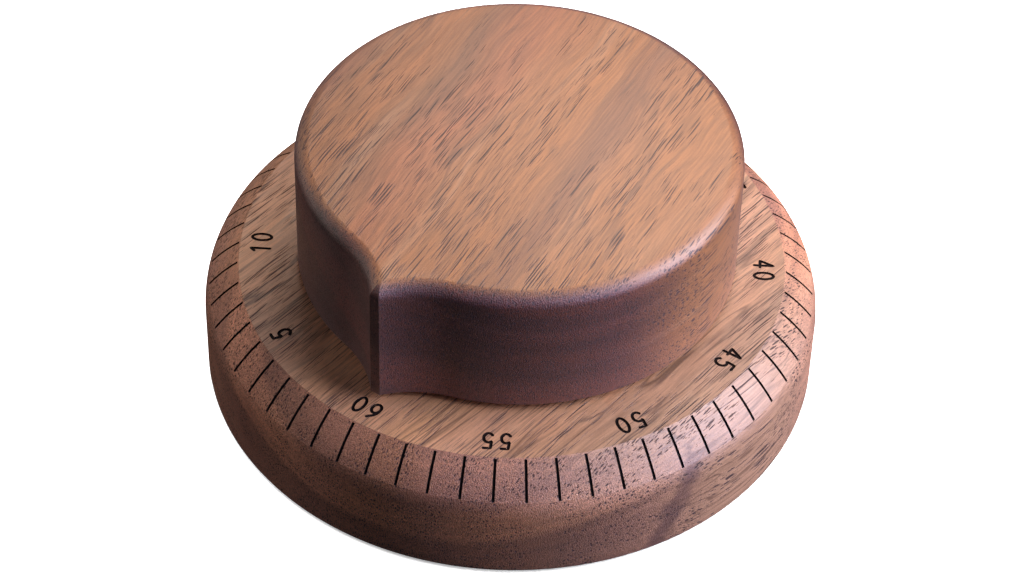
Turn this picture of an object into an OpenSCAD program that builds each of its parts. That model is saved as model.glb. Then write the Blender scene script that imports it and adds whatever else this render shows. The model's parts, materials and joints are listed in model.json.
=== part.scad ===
// Sixty-minute wooden dial timer: a turned walnut base and knob around a small clockwork movement.
// Origin on the spindle's axis, on the surface that the timer stands on. +Z is up.
// The pointer and the sixty mark face -Y, and the minutes count up clockwise seen from above.

/* [Base] */
// Outer radius of the base
base_r = 42; // [40:0.5:46]
// Height of the wooden base
base_h = 17; // [17:0.1:18.5]
// Width, seen from above, of the sloping band that carries the minute marks
band_w = 4.15; // [3.5:0.05:5]
// Depth of the band from the dial to its outer crease
band_h = 4.15; // [3:0.05:4.5]
// How far the band's outer crease stands inside the wall
shoulder_w = 0.65; // [0.4:0.05:1]
// Depth from the dial to where the wall turns upright
shoulder_h = 6.6; // [6:0.1:7.5]
// Radius of the turned-out hollow
cavity_r = 30.5; // [30:0.1:31]
// Thickness of the wood over the hollow
roof_h = 2.5; // [2.3:0.1:2.5]
// Radius of the hole that the spindle comes through
spindle_hole_r = 8; // [7:0.5:10]

/* [Knob] */
// Radius of the knob
knob_r = 29.9; // [27:0.1:30.5]
// How far the middle of the knob's round body lies behind the spindle
body_back = 1.2; // [0:0.1:1.5]
// Height of the knob
knob_h = 19.3; // [16:0.1:24]
// Air gap between the dial and the knob
knob_gap = 1; // [0.4:0.1:1.8]
// Distance from the axis to the pointer's blunt tip
beak_reach = 32.5; // [31.5:0.1:33.5]
// Half the width of the pointer's blunt tip
beak_half_w = 0.7; // [0.4:0.1:1.5]
// Radius of the hollow flanks that lead into the pointer
flank_r = 16; // [10:0.5:20]
// Radius of the round-over along the knob's top edge
knob_round = 2; // [1:0.1:2.5]

/* [Underside] */
// Height that the rubber ring lifts the wood off the table
ring_stand = 0.5; // [0.3:0.1:1]
// Radius of the plastic cover
cover_r = 36; // [34:0.5:37]
// Thickness of the plastic cover
cover_h = 1.8; // [1.6:0.1:2]
// Inner radius of the rubber ring
ring_in_r = 24.5; // [22:0.5:25]
// Outer radius of the rubber ring
ring_out_r = 28.5; // [28:0.5:30]

/* [Movement] */
// Radius of the two movement plates
plate_r = 28.8; // [28.5:0.1:29.5]
// Thickness of the plates
plate_h = 0.8; // [0.6:0.1:0.9]
// Radius of the spindle in its upper bush
spindle_r = 2.45; // [2.2:0.05:2.6]
// Running clearance on the radius of every pivot
running_gap = 0.05; // [0.02:0.01:0.08]
// Teeth of the escape wheel
escape_teeth = 15; // [12:1:18]

/* [Hidden] */
$fn = 96;

walnut = [0.42, 0.27, 0.19];
dark_plastic = [0.12, 0.12, 0.13];
rubber = [0.08, 0.08, 0.08];
steel = [0.62, 0.63, 0.65];
blued_steel = [0.25, 0.27, 0.33];
brass = [0.78, 0.62, 0.32];

eps = 0.01;               // overshoot of a cutting tool past a face
main_teeth = 60;
second_teeth = 56;
third_teeth = 54;
pinion_teeth = 8;
third_turn = 120;         // angle between three equal fixings

// Heights of the case
base_z = ring_stand;
dial_r = base_r - shoulder_w - band_w;
dial_z = base_z + base_h;
cover_top = base_z + cover_h;
roof_z = dial_z - roof_h;
foot_round = 0.8;         // small round-over along the base's bottom edge
band_turn = 18;           // how much the band's slope changes from crease to crease
shoulder_turn = 24;
cover_gap = 0.15;         // between the cover's rim and the wood
ring_sink = 1.3;          // how far the rubber ring lies in the cover's groove
ring_h = ring_stand + ring_sink;
vent_ring = 14;           // nine holes in the cover let the bell's sound out
vent_r = 1.2;
vents = 9;

// Heights of the knob
knob_z = dial_z + knob_gap;
knob_top = knob_z + knob_h;
insert_flange_r = 9;
insert_flange_h = 1.2;
insert_sink = 0.3;        // how far the flange lies inside the knob
insert_hub_r = 4.2;
insert_top = knob_z + 12;
insert_screw_ring = 6.6;
insert_screw_r = 0.9;
insert_screw_head_r = 1.8;
insert_screw_head_h = 1;
flange_top = knob_z + insert_sink + insert_flange_h;

// Heights inside the movement
top_plate_z = 12.6;
back_plate_z = 5.2;
back_plate_top = back_plate_z + plate_h;
top_plate_top = top_plate_z + plate_h;
end_shake = 0.1;          // axial play of every arbor
second_z = 6.4;
third_z = 7.5;
main_z = 8.6;
spring_z = 9.8;
escape_z = 10;
balance_z = 11.2;
cam_z = 13.7;
thin_wheel = 0.6;
main_wheel_h = 0.8;
lever_h = 0.8;            // thickness of the cam, the trip lever and the hammer's arm
second_pinion_z = 8.3;
third_pinion_z = 6.2;
escape_pinion_z = 7.3;
pinion_h = 1;
second_pinion_h = 1.4;

// Tooth shapes as [distance outside the pitch circle in modules, angle in tooth pitches]
wheel_tooth = [[-1.15, -0.3], [0, -0.2], [0.85, -0.09], [0.85, 0.09], [0, 0.2], [-1.15, 0.3]];
pinion_tooth = [[-1.2, -0.17], [0, -0.17], [0.75, -0.06], [0.75, 0.06], [0, 0.17], [-1.2, 0.17]];
escape_tooth = [[-2.4, -0.34], [0, -0.02], [0, 0.06], [-2.4, 0.2]];
main_module = 0.5;
second_module = 0.4;
third_module = 0.35;
escape_module = 0.65;

// Places of the arbors round the spindle. Each is set by its gear's centre distance.
function mesh_distance(gear_module, teeth) = gear_module*(teeth + pinion_teeth)/2;
function angle_between(a, b, across) = acos((a*a + b*b - across*across)/(2*a*b));
function at(radius, angle) = [radius*cos(angle), radius*sin(angle)];
function heading(from, to) = atan2(to[1] - from[1], to[0] - from[0]);

second_ring = mesh_distance(main_module, main_teeth);
third_ring = 17.5;
escape_ring = 18;
pallet_ring = 18;
second_angle = 0;
third_angle = second_angle
    + angle_between(second_ring, third_ring, mesh_distance(second_module, second_teeth));
escape_angle = third_angle
    + angle_between(third_ring, escape_ring, mesh_distance(third_module, third_teeth));
pallet_angle = escape_angle + 24;
second_at = at(second_ring, second_angle);
third_at = at(third_ring, third_angle);
escape_at = at(escape_ring, escape_angle);
pallet_at = at(pallet_ring, pallet_angle);

arbor_r = 0.7;
pivot_r = 0.4;
lower_bush_r = 2.6;
upper_bush_r = 4.5;
bush_flange_r = 5.2;
bush_stand = 0.3;         // how far the bushes stand out past the plates
spindle_foot_r = 1.5;     // radius of the lower bush's bore

pillar_ring = 26.8;
pillar_angle = 88;
pillar_r = 1.8;
pillar_screw_r = 0.8;
mount_ring = 26.9;
mount_angle = 28;
mount_screw_r = 1;
mount_screw_length = 3.9;
mount_pilot_h = 1.7;      // pilot holes in the roof for the mounting screws
cover_screw_ring = 33.3;
cover_screw_angle = 30;
cover_screw_r = 1;
cover_screw_head_r = 2.2;
cover_screw_head_h = 1.4;
cover_pilot_h = 6;

// The mainspring's outer end hooks round a post in the top plate
spring_post_at = at(13.4, 250);
spring_post_r = 0.8;
mainspring_h = 2.4;

// Alarm: the hammer's arbor carries a trip lever over the top plate and a hammer under the back plate
cam_r = 7.5;
bell_r = 17;
bell_z = 3;
bell_h = 1.9;
bell_wall = 0.5;
bell_at = at(6, 140);
bell_post_r = 2.2;
bell_screw_r = 1;
bell_rivet_r = 1.4;
hammer_ring = 21;
hammer_bearing = 230;
hammer_at = at(hammer_ring, hammer_bearing);
hammer_spring_post_at = hammer_at + at(4.2, 150);
hammer_spring_post_r = 0.5;
hammer_spring_z = 11;
hammer_arm_z = 3.5;
hammer_pivot_r = 0.8;
hammer_head_r = 1.4;
hammer_gap = 0.4;         // the hammer rests just clear of the bell
strike_r = bell_r + hammer_gap + hammer_head_r;
hammer_reach = sqrt(pow(norm(hammer_at - bell_at), 2) - strike_r*strike_r);
hammer_angle = heading(hammer_at, bell_at) - asin(strike_r/norm(hammer_at - bell_at));
nose_r = 0.6;
nose_gap = 0.15;          // the trip lever's nose stands this far off the cam
nose_ring = cam_r + nose_gap + nose_r;
trip_angle = hammer_bearing + acos(nose_ring/hammer_ring);
nose_at = at(nose_ring, trip_angle);

// ---------- shared shapes ----------

function arc(centre, radius, start, end, steps) =
    [for (i = [0:steps]) centre + at(radius, start + (end - start)*i/steps)];

function toothed_ring(teeth, gear_module, tooth) =
    [for (i = [0:teeth - 1], p = tooth)
        at(gear_module*(teeth/2 + p[0]), 360/teeth*(i + p[1]))];

// A toothed disc, with its first tooth pointing along `turn`
module toothed_disc(teeth, gear_module, tooth, height, turn)
    rotate([0, 0, turn])
        linear_extrude(height)
            polygon(toothed_ring(teeth, gear_module, tooth));

// A wheel of the train: its gap, not a tooth, points along `toward`, and round windows lighten it
module train_wheel(teeth, gear_module, height, toward, bore_r, window_ring, window_r, windows)
    difference() {
        toothed_disc(teeth, gear_module, wheel_tooth, height, toward + 180/teeth);
        translate([0, 0, -eps]) {
            cylinder(r = bore_r, h = height + 2*eps);
            for (i = [0:windows - 1])
                rotate([0, 0, toward + 360/windows*(i + 0.5)])
                    translate([window_ring, 0, 0])
                        cylinder(r = window_r, h = height + 2*eps);
        }
    }

// An arbor between the plates, with a thin pivot in each plate
module plain_arbor() {
    pivot_h = plate_h + 2*end_shake;
    translate([0, 0, back_plate_z - end_shake])
        cylinder(r = pivot_r, h = pivot_h);
    translate([0, 0, back_plate_top + end_shake])
        cylinder(r = arbor_r, h = top_plate_z - back_plate_top - 2*end_shake);
    translate([0, 0, top_plate_z - end_shake])
        cylinder(r = pivot_r, h = pivot_h);
}

// A pan-head screw along +Z, with its head below z = 0 and a driving slot in it
module pan_screw(shank_r, length, head_r, head_h)
    difference() {
        union() {
            translate([0, 0, -head_h]) cylinder(r = head_r, h = head_h);
            cylinder(r = shank_r, h = length);
        }
        translate([0, 0, -head_h]) cube([head_r*1.5, head_r*0.3, head_h*0.8], center = true);
    }

// A countersunk screw along +Z, with the top of its head at z = 0
module flush_screw(shank_r, length, head_r, head_h)
    difference() {
        union() {
            cylinder(r1 = head_r, r2 = shank_r, h = head_h);
            cylinder(r = shank_r, h = length);
        }
        cube([head_r*1.4, head_r*0.3, head_h*0.8], center = true);
        cube([head_r*0.3, head_r*1.4, head_h*0.8], center = true);
    }

module three_round(ring, start)
    for (i = [0:2])
        rotate([0, 0, start + i*third_turn]) translate([ring, 0, 0]) children();

// ---------- case ----------

// The bulging line from `a` to `b` that turns left by `turn` degrees, without its first point
function bulge(a, b, turn, steps) =
    let (way = b - a, first = atan2(way[1], way[0]) - turn/2, radius = norm(way)/(2*sin(turn/2)))
    [for (i = [1:steps]) let (now = first + turn*i/steps)
        a + radius*[sin(now) - sin(first), cos(first) - cos(now)]];

band_foot = [base_r - shoulder_w, dial_z - band_h];
shoulder_foot = [base_r, dial_z - shoulder_h];

function base_outline() = concat(
    [[0, base_z]],
    arc([base_r - foot_round, base_z + foot_round], foot_round, -90, 0, 5),
    [shoulder_foot],
    bulge(shoulder_foot, band_foot, shoulder_turn, 5),
    bulge(band_foot, [dial_r, dial_z], band_turn, 6),
    [[0, dial_z]]);

module base_body()
    color(walnut) difference() {
        rotate_extrude() polygon(base_outline());
        translate([0, 0, base_z - eps]) cylinder(r = cover_r + cover_gap, h = cover_h + eps);
        translate([0, 0, cover_top - eps]) cylinder(r = cavity_r, h = roof_z - cover_top + eps);
        translate([0, 0, roof_z - eps]) cylinder(r = spindle_hole_r, h = roof_h + 2*eps);
        three_round(cover_screw_ring, cover_screw_angle)
            translate([0, 0, cover_top - eps]) cylinder(r = cover_screw_r, h = cover_pilot_h);
        three_round(mount_ring, mount_angle)
            translate([0, 0, roof_z - eps]) cylinder(r = mount_screw_r, h = mount_pilot_h);
    }

module bottom_cover()
    color(dark_plastic) difference() {
        translate([0, 0, base_z]) cylinder(r = cover_r, h = cover_h);
        translate([0, 0, base_z - eps]) difference() {
            cylinder(r = ring_out_r, h = ring_sink + eps);
            translate([0, 0, -eps]) cylinder(r = ring_in_r, h = ring_sink + 3*eps);
        }
        three_round(cover_screw_ring, cover_screw_angle) {
            translate([0, 0, base_z - eps]) cylinder(r = cover_screw_r + 0.2, h = cover_h + 2*eps);
            translate([0, 0, base_z])
                cylinder(r1 = cover_screw_head_r, r2 = cover_screw_r, h = cover_screw_head_h);
        }
        for (i = [0:vents - 1])
            rotate([0, 0, 360/vents*i]) translate([vent_ring, 0, base_z - eps])
                cylinder(r = vent_r, h = cover_h + 2*eps);
    }

module cover_screws()
    color(steel) three_round(cover_screw_ring, cover_screw_angle)
        translate([0, 0, base_z])
            flush_screw(cover_screw_r, 7, cover_screw_head_r, cover_screw_head_h);

module grip_ring()
    color(rubber) difference() {
        cylinder(r = ring_out_r, h = ring_h);
        translate([0, 0, -eps]) cylinder(r = ring_in_r, h = ring_h + 2*eps);
    }

// ---------- movement frame ----------

module pivot_holes(z)
    translate([0, 0, z - eps]) {
        for (place = [second_at, third_at, escape_at, pallet_at])
            translate(place) cylinder(r = pivot_r + running_gap, h = plate_h + 2*eps);
        translate(hammer_at) cylinder(r = hammer_pivot_r + running_gap, h = plate_h + 2*eps);
        three_round(pillar_ring, pillar_angle) cylinder(r = pillar_screw_r, h = plate_h + 2*eps);
    }

module top_plate()
    color(brass) difference() {
        translate([0, 0, top_plate_z]) cylinder(r = plate_r, h = plate_h);
        pivot_holes(top_plate_z);
        translate([0, 0, top_plate_z - eps]) {
            cylinder(r = upper_bush_r, h = plate_h + 2*eps);
            translate(spring_post_at) cylinder(r = spring_post_r, h = plate_h + 2*eps);
            translate(hammer_spring_post_at)
                cylinder(r = hammer_spring_post_r, h = plate_h + 2*eps);
            three_round(mount_ring, mount_angle) cylinder(r = mount_screw_r, h = plate_h + 2*eps);
        }
    }

module back_plate()
    color(brass) difference() {
        translate([0, 0, back_plate_z]) cylinder(r = plate_r, h = plate_h);
        pivot_holes(back_plate_z);
        translate([0, 0, back_plate_z - eps]) {
            cylinder(r = lower_bush_r, h = plate_h + 2*eps);
            translate(bell_at) cylinder(r = bell_rivet_r, h = plate_h + 2*eps);
        }
    }

module pillars()
    color(steel) three_round(pillar_ring, pillar_angle)
        translate([0, 0, back_plate_top]) difference() {
            cylinder(r = pillar_r, h = top_plate_z - back_plate_top);
            translate([0, 0, -eps])
                cylinder(r = pillar_screw_r, h = top_plate_z - back_plate_top + 2*eps);
        }

module pillar_screws()
    color(steel) three_round(pillar_ring, pillar_angle) {
        translate([0, 0, back_plate_z]) pan_screw(pillar_screw_r, plate_h + 2.4, 1.6, 0.8);
        translate([0, 0, top_plate_top]) mirror([0, 0, 1])
            pan_screw(pillar_screw_r, plate_h + 2.4, 1.6, 0.8);
    }

module mount_spacers()
    color(steel) three_round(mount_ring, mount_angle)
        translate([0, 0, top_plate_top]) difference() {
            cylinder(r = 2.2, h = roof_z - top_plate_top);
            translate([0, 0, -eps]) cylinder(r = mount_screw_r, h = roof_z - top_plate_top + 2*eps);
        }

module mount_screws()
    color(steel) three_round(mount_ring, mount_angle)
        translate([0, 0, top_plate_z]) pan_screw(mount_screw_r, mount_screw_length, 1.8, 0.7);

module upper_bush()
    color(brass) translate([0, 0, top_plate_z - bush_stand]) difference() {
        union() {
            cylinder(r = bush_flange_r, h = bush_stand);
            cylinder(r = upper_bush_r, h = plate_h + bush_stand + 0.1);
        }
        translate([0, 0, -eps]) cylinder(r = spindle_r + running_gap, h = plate_h + 1);
    }

module lower_bush()
    color(brass) translate([0, 0, back_plate_z - bush_stand]) difference() {
        cylinder(r = lower_bush_r, h = plate_h + 2*bush_stand);
        translate([0, 0, -eps]) cylinder(r = spindle_foot_r, h = plate_h + 1);
    }

// Spiral strip between two radii, as one closed outline
function spiral(inner, outer, turns, start, wall) =
    let (steps = 24*turns)
    concat(
        [for (i = [0:steps]) at(inner + (outer - inner)*i/steps, start + 15*i)],
        [for (i = [steps:-1:0]) at(inner + wall + (outer - inner)*i/steps, start + 15*i)]);

// The mainspring is shown at rest. It stands clear of the spindle and of its post, and doesn't wind up.
module mainspring()
    color(blued_steel) translate([0, 0, spring_z])
        linear_extrude(mainspring_h) polygon(spiral(2.9, 11.6, 6, 250, 0.3));

module spring_post()
    color(steel) translate(concat(spring_post_at, spring_z))
        cylinder(r = spring_post_r, h = top_plate_top - spring_z);

// ---------- alarm, fixed pieces ----------

module bell()
    color(steel) translate(concat(bell_at, bell_z))
        rotate_extrude() polygon([
            [bell_screw_r, 0], [bell_r - 1, 0], [bell_r, 1], [bell_r, bell_h],
            [bell_r - bell_wall, bell_h], [bell_r - bell_wall, 1.2], [bell_r - 1.2, bell_wall],
            [bell_screw_r, bell_wall]]);

module bell_post()
    color(brass) translate(concat(bell_at, bell_z + bell_wall)) difference() {
        union() {
            cylinder(r = bell_post_r, h = back_plate_z - bell_z - bell_wall);
            cylinder(r = bell_rivet_r, h = back_plate_top - bell_z - bell_wall);
        }
        translate([0, 0, -eps]) cylinder(r = bell_screw_r, h = 1.5);
    }

module bell_screw()
    color(steel) translate(concat(bell_at, bell_z)) pan_screw(bell_screw_r, 1.9, 2.2, 0.5);

module hammer_spring()
    color(blued_steel) translate(concat(hammer_at, hammer_spring_z))
        linear_extrude(0.8) polygon(spiral(1.5, 3, 3, 150, 0.15));

module hammer_spring_post() {
    post_z = hammer_spring_z - 0.2;
    color(steel) translate(concat(hammer_spring_post_at, post_z))
        cylinder(r = hammer_spring_post_r, h = top_plate_top - post_z);
}

// ---------- knob and spindle ----------

// Knob outline at a given inset: the round body, two hollow flanks and the pointer's blunt tip.
// Every edge keeps its centre, so the inset outline stays parallel to the full one.
// It is worked out round the body's middle, and knob_outline() moves it back from the spindle.
beak_length = beak_reach + body_back;
flank_ring = knob_r + flank_r;
beak_corner = norm([beak_half_w, beak_length]);
flank_angle = atan2(beak_half_w, beak_length)
    + acos((flank_ring*flank_ring + beak_corner*beak_corner - flank_r*flank_r)
        /(2*flank_ring*beak_corner));
flank_at = at(flank_ring, flank_angle - 90);
tip_min_half_w = 0.1;

function tip_half_w(inset) =
    max(tip_min_half_w, flank_at[0]
        - sqrt(pow(flank_r + inset, 2) - pow(inset - beak_length - flank_at[1], 2)));
function tip_y(inset) =
    flank_at[1] + sqrt(pow(flank_r + inset, 2) - pow(tip_half_w(inset) - flank_at[0], 2));
function tip_heading(inset) =
    heading(flank_at, [tip_half_w(inset), tip_y(inset)]);
function knob_half(inset) = concat(
    arc(flank_at, flank_r + inset, tip_heading(inset), 90 + flank_angle, 10),
    [for (i = [1:48]) at(knob_r - inset, flank_angle - 90 + (180 - flank_angle)*i/48)]);
function mirrored(points) = [for (i = [len(points) - 2:-1:0]) [-points[i][0], points[i][1]]];
function knob_outline(inset) =
    let (half = knob_half(inset))
    [for (p = concat(half, mirrored(half))) p + [0, body_back]];

knob_rings = concat([[0, knob_z]],
    [for (i = [0:5]) let (a = 90*i/5)
        [knob_round*(1 - cos(a)), knob_top - knob_round*(1 - sin(a))]]);
knob_count = len(knob_outline(0));

module knob_solid() {
    last = len(knob_rings) - 1;
    points = [for (ring = knob_rings, p = knob_outline(ring[0])) [p[0], p[1], ring[1]]];
    walls = [for (k = [0:last - 1], i = [0:knob_count - 1])
        let (j = (i + 1) % knob_count)
        [(k + 1)*knob_count + i, (k + 1)*knob_count + j, k*knob_count + j, k*knob_count + i]];
    floor_face = [for (i = [0:knob_count - 1]) i];
    top_face = [for (i = [knob_count - 1:-1:0]) last*knob_count + i];
    polyhedron(points, concat(walls, [floor_face, top_face]), convexity = 4);
}

module knob()
    color(walnut) difference() {
        knob_solid();
        translate([0, 0, knob_z - 1]) cylinder(r = insert_flange_r + 0.1, h = flange_top - knob_z + 1);
        translate([0, 0, knob_z]) cylinder(r = insert_hub_r, h = insert_top - knob_z);
        three_round(insert_screw_ring, 90)
            translate([0, 0, flange_top - 0.1]) cylinder(r = insert_screw_r, h = 5);
    }

module spindle_section(radius) difference() {
    circle(r = radius);
    translate([spindle_r*0.7, -radius - 1]) square([radius, 2*radius + 2]);
}

module knob_insert()
    color(brass) difference() {
        translate([0, 0, flange_top - insert_flange_h]) {
            cylinder(r = insert_flange_r, h = insert_flange_h);
            cylinder(r = insert_hub_r, h = insert_top - flange_top + insert_flange_h);
        }
        translate([0, 0, knob_z - 1]) linear_extrude(insert_top - knob_z) spindle_section(spindle_r);
        three_round(insert_screw_ring, 90) translate([0, 0, flange_top - insert_flange_h]) {
            translate([0, 0, -eps]) cylinder(r = insert_screw_r, h = insert_flange_h + 2*eps);
            cylinder(r1 = insert_screw_head_r, r2 = insert_screw_r, h = insert_screw_head_h);
        }
    }

module insert_screws()
    color(steel) three_round(insert_screw_ring, 90)
        translate([0, 0, flange_top - insert_flange_h])
            flush_screw(insert_screw_r, 5.8, insert_screw_head_r, insert_screw_head_h);

module spindle() {
    foot_z = back_plate_z - 0.4;
    shoulder_z = back_plate_top + bush_stand + end_shake;
    color(steel) {
        translate([0, 0, foot_z])
            cylinder(r = spindle_foot_r - running_gap, h = shoulder_z - foot_z);
        translate([0, 0, shoulder_z]) cylinder(r = spindle_r, h = roof_z - shoulder_z);
        translate([0, 0, roof_z]) linear_extrude(insert_top - 1 - roof_z) spindle_section(spindle_r);
    }
}

// Disc with one sloped notch, which the trip lever's nose faces at zero
module alarm_cam() {
    notch_turn = 14;
    color(steel) translate([0, 0, cam_z]) linear_extrude(lever_h) difference() {
        circle(r = cam_r);
        circle(r = spindle_r);
        polygon([at(cam_r + 1, trip_angle - 4), at(cam_r + 1, trip_angle + notch_turn),
            at(cam_r - 1.6, trip_angle - 2)]);
    }
}

module main_wheel()
    color(brass) difference() {
        translate([0, 0, main_z])
            train_wheel(main_teeth, main_module, main_wheel_h, second_angle, spindle_r, 10, 2.6, 6);
        translate(concat(click_at, main_z - eps))
            cylinder(r = click_rivet_r, h = main_wheel_h + 2*eps);
    }

// Ratchet and click lie under the main wheel and turn with it while the timer runs down
ratchet_z = 7.65;
ratchet_h = 0.8;
ratchet_teeth = 12;
ratchet_tip_r = 4.1;
ratchet_root_r = 3.5;
click_ring = 6;
click_angle = 60;
click_rivet_r = 0.5;
click_at = at(click_ring, click_angle);

module ratchet_wheel()
    color(steel) translate([0, 0, ratchet_z]) linear_extrude(ratchet_h) difference() {
        polygon([for (i = [0:ratchet_teeth - 1], p = [[ratchet_tip_r, 0], [ratchet_root_r, 2]])
            at(p[0], 360/ratchet_teeth*i + p[1])]);
        circle(r = spindle_r);
    }

module click()
    color(steel) translate([0, 0, ratchet_z]) linear_extrude(ratchet_h) difference() {
        polygon(concat(arc(click_at, 1, click_angle - 47, click_angle + 133, 12),
            [at(ratchet_tip_r + 0.1, click_angle - 34), at(click_ring + 0.2, click_angle - 26)]));
        translate(click_at) circle(r = click_rivet_r);
    }

module click_rivet()
    color(brass) translate(concat(click_at, ratchet_z - 0.1))
        cylinder(r = click_rivet_r, h = main_z + main_wheel_h - ratchet_z + 0.1);

module click_spring()
    color(blued_steel) translate([0, 0, ratchet_z + 0.1]) linear_extrude(0.6)
        polygon(concat(arc([0, 0], 6.9, click_angle - 24, click_angle - 110, 14),
            arc([0, 0], 6.7, click_angle - 110, click_angle - 24, 14)));

// ---------- going train ----------

module second_arbor()
    color(steel) translate(second_at) {
        plain_arbor();
        translate([0, 0, second_pinion_z])
            toothed_disc(pinion_teeth, main_module, pinion_tooth, second_pinion_h,
                second_angle + 180);
    }

module second_wheel()
    color(brass) translate(concat(second_at, second_z))
        train_wheel(second_teeth, second_module, thin_wheel, heading(second_at, third_at),
            arbor_r, 6.4, 2.5, 5);

module third_arbor()
    color(steel) translate(third_at) {
        plain_arbor();
        translate([0, 0, third_pinion_z])
            toothed_disc(pinion_teeth, second_module, pinion_tooth, pinion_h,
                heading(third_at, second_at));
    }

module third_wheel()
    color(brass) translate(concat(third_at, third_z))
        train_wheel(third_teeth, third_module, thin_wheel, heading(third_at, escape_at),
            arbor_r, 5.4, 2.1, 5);

module escape_arbor()
    color(steel) translate(escape_at) {
        plain_arbor();
        translate([0, 0, escape_pinion_z])
            toothed_disc(pinion_teeth, third_module, pinion_tooth, pinion_h,
                heading(escape_at, third_at));
    }

module escape_wheel()
    color(brass) translate(concat(escape_at, escape_z)) difference() {
        toothed_disc(escape_teeth, escape_module, escape_tooth, thin_wheel, 0);
        translate([0, 0, -eps]) cylinder(r = arbor_r, h = thin_wheel + 2*eps);
    }

// ---------- escapement and alarm, moving pieces ----------

pallet_pin_reach = 4;
pallet_pin_spread = 50;
pallet_heading = heading(pallet_at, escape_at);

module pallet_arbor()
    color(steel) translate(pallet_at) plain_arbor();

// Two arms with a steel pin each, spread either side of the line to the escape wheel
module pallet_lever()
    color(steel) translate(concat(pallet_at, escape_z)) difference() {
        linear_extrude(thin_wheel) {
            circle(r = 1.4);
            for (side = [-1, 1])
                rotate(pallet_heading + side*pallet_pin_spread) {
                    translate([0, -0.3]) square([pallet_pin_reach, 0.6]);
                    translate([pallet_pin_reach, 0]) circle(r = 0.3);
                }
        }
        translate([0, 0, -eps]) cylinder(r = arbor_r, h = thin_wheel + 2*eps);
    }

module balance_bar()
    color(brass) translate(concat(pallet_at, balance_z)) difference() {
        linear_extrude(thin_wheel) rotate(pallet_heading + 90) {
            square([9, 1.2], center = true);
            for (side = [-1, 1]) translate([side*4.2, 0]) circle(r = 1.2);
            circle(r = 1.4);
        }
        translate([0, 0, -eps]) cylinder(r = arbor_r, h = thin_wheel + 2*eps);
    }

module hammer_arbor() {
    foot_z = 3.4;
    color(steel) translate(hammer_at) {
        translate([0, 0, foot_z])
            cylinder(r = hammer_pivot_r, h = back_plate_top + end_shake - foot_z);
        translate([0, 0, back_plate_top + end_shake])
            cylinder(r = 1.2, h = top_plate_z - back_plate_top - 2*end_shake);
        translate([0, 0, top_plate_z - end_shake])
            cylinder(r = hammer_pivot_r, h = cam_z + lever_h + end_shake - top_plate_z);
    }
}

module trip_lever()
    color(steel) translate([0, 0, cam_z]) linear_extrude(lever_h) difference() {
        union() {
            translate(hammer_at) circle(r = 1.8);
            translate(nose_at) circle(r = nose_r);
            translate(hammer_at) rotate(heading(hammer_at, nose_at))
                translate([0, -nose_r]) square([norm(nose_at - hammer_at), 2*nose_r]);
        }
        translate(hammer_at) circle(r = hammer_pivot_r);
    }

module hammer()
    color(steel) translate(hammer_at) rotate([0, 0, hammer_angle]) difference() {
        union() {
            translate([0, 0, hammer_arm_z]) cylinder(r = 1.8, h = lever_h);
            translate([0, -0.5, hammer_arm_z]) cube([hammer_reach, 1, lever_h]);
            translate([hammer_reach, 0, bell_z]) cylinder(r = hammer_head_r, h = bell_h);
        }
        translate([0, 0, hammer_arm_z - eps]) cylinder(r = hammer_pivot_r, h = lever_h + 2*eps);
    }

base_body();
bottom_cover();
cover_screws();
grip_ring();
top_plate();
back_plate();
pillars();
pillar_screws();
mount_spacers();
mount_screws();
upper_bush();
lower_bush();
mainspring();
spring_post();
bell();
bell_post();
bell_screw();
hammer_spring();
hammer_spring_post();
knob();
knob_insert();
insert_screws();
spindle();
alarm_cam();
main_wheel();
ratchet_wheel();
click();
click_rivet();
click_spring();
second_arbor();
second_wheel();
third_arbor();
third_wheel();
escape_arbor();
escape_wheel();
pallet_arbor();
pallet_lever();
balance_bar();
hammer_arbor();
trip_lever();
hammer();
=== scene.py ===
"""Sixty-minute dial timer in oiled walnut: its wood, its burnt scale, its hardware and a plain studio."""
import json
import math
import bpy
import bmesh
from mathutils import Matrix, Vector
from mathutils.geometry import delaunay_2d_cdt


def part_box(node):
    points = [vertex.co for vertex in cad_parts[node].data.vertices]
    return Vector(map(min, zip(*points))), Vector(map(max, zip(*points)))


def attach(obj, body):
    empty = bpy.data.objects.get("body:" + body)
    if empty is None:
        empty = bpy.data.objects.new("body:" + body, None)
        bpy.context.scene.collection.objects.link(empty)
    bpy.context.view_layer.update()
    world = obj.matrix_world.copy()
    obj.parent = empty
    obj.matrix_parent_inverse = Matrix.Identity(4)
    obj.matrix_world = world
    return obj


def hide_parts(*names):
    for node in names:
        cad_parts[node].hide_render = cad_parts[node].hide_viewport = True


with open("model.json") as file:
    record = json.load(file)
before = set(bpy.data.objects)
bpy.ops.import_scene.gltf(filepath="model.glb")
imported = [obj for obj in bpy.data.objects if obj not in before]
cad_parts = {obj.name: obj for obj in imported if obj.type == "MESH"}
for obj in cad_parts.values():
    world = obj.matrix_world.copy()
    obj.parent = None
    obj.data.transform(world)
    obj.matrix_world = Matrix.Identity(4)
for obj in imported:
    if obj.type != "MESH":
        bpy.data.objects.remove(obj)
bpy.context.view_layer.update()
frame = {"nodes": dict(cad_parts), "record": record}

MM = 0.001
TAU = math.tau

# ---------- sizes, in millimetres ----------

base_low, base_high = (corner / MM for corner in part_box("base_body"))
knob_low, knob_high = (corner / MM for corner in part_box("knob"))
cover_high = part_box("bottom_cover")[1] / MM

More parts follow.
